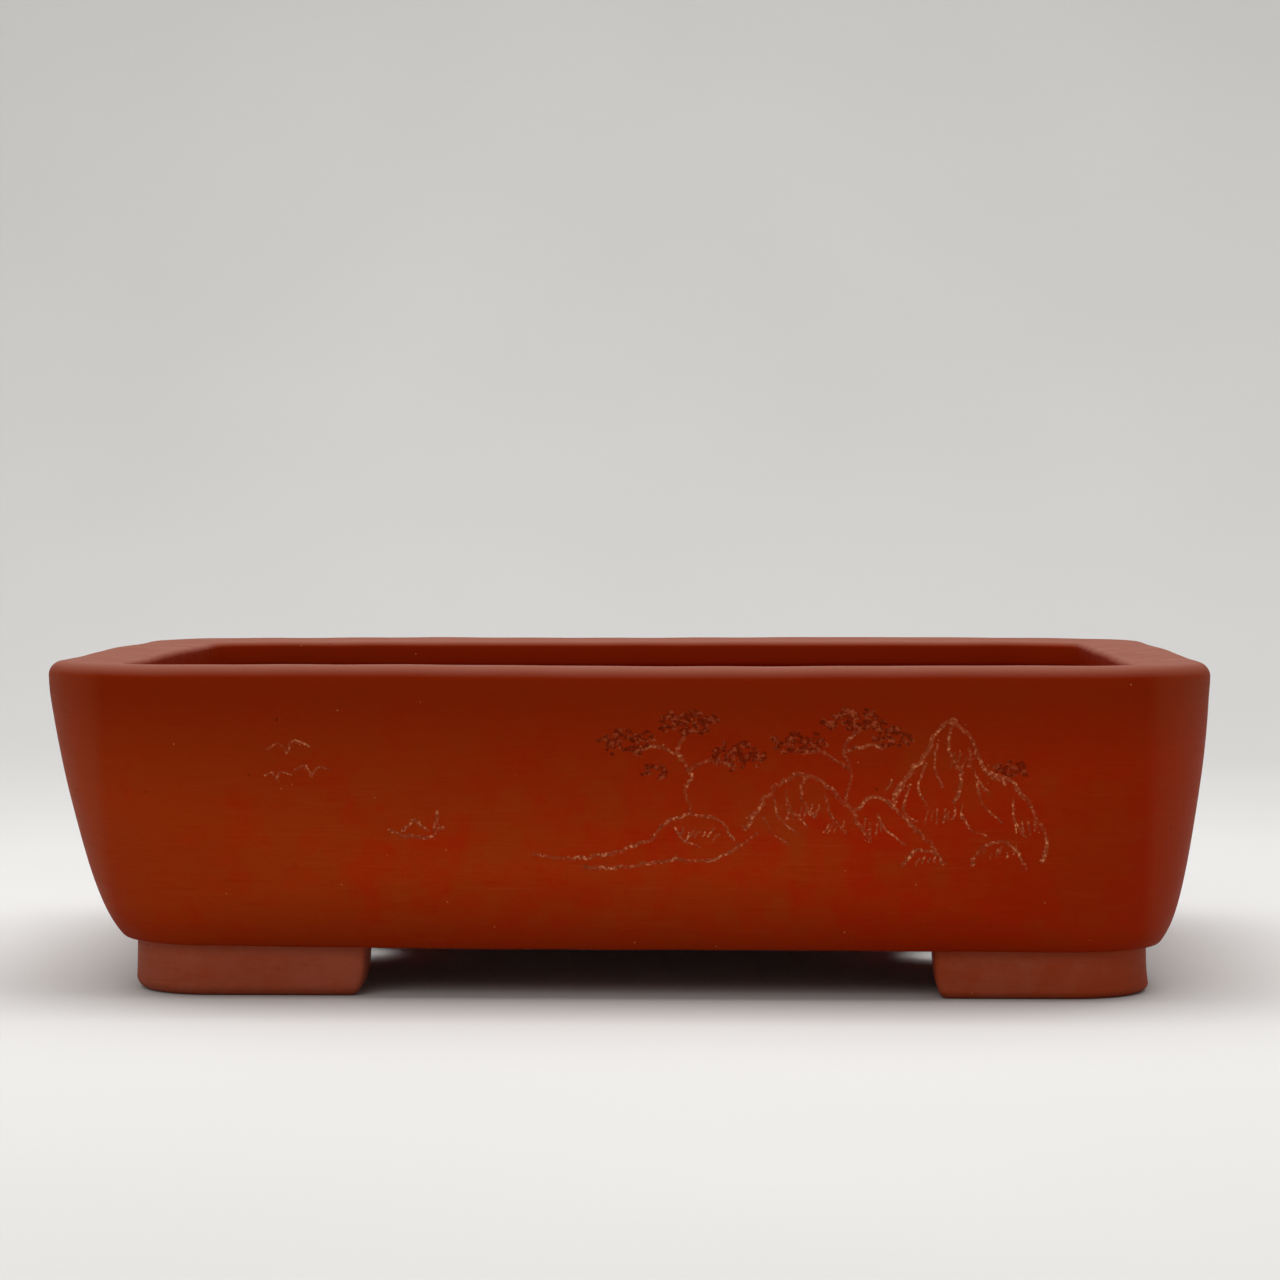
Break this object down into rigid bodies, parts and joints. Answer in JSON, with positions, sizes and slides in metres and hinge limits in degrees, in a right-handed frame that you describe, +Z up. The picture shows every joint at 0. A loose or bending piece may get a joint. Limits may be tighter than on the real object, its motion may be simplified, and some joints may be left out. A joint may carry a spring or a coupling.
{
  "type": "bonsai pot",
  "caption": "Rounded rectangular bonsai pot of unglazed red clay with an inward rim lip, L-shaped corner feet and a landscape engraved on the front.",
  "frame": {"origin": "on the ground, under the middle of the rim", "axes": "+X along the pot's length, to the right as seen from the engraved front; +Y from the engraved front to the back; +Z up"},
  "size_m": [0.31, 0.225, 0.088],
  "materials": {
    "clay_wall": "unglazed red stoneware, burnished to a satin",
    "clay_rim": "unglazed red stoneware, rubbed smooth and a little paler",
    "clay_floor": "unglazed red stoneware, left matt inside",
    "clay_foot": "unglazed purple-brown stoneware, matt"
  },
  "bodies": {
    "root": {"floor_slab": "clay_floor", "front_wall": "clay_wall", "back_wall": "clay_wall", "left_wall": "clay_wall", "right_wall": "clay_wall", "rim_front": "clay_rim", "rim_back": "clay_rim", "rim_left": "clay_rim", "rim_right": "clay_rim", "foot_front_left": "clay_foot", "foot_front_right": "clay_foot", "foot_back_left": "clay_foot", "foot_back_right": "clay_foot"}
  },
  "joints": []
}
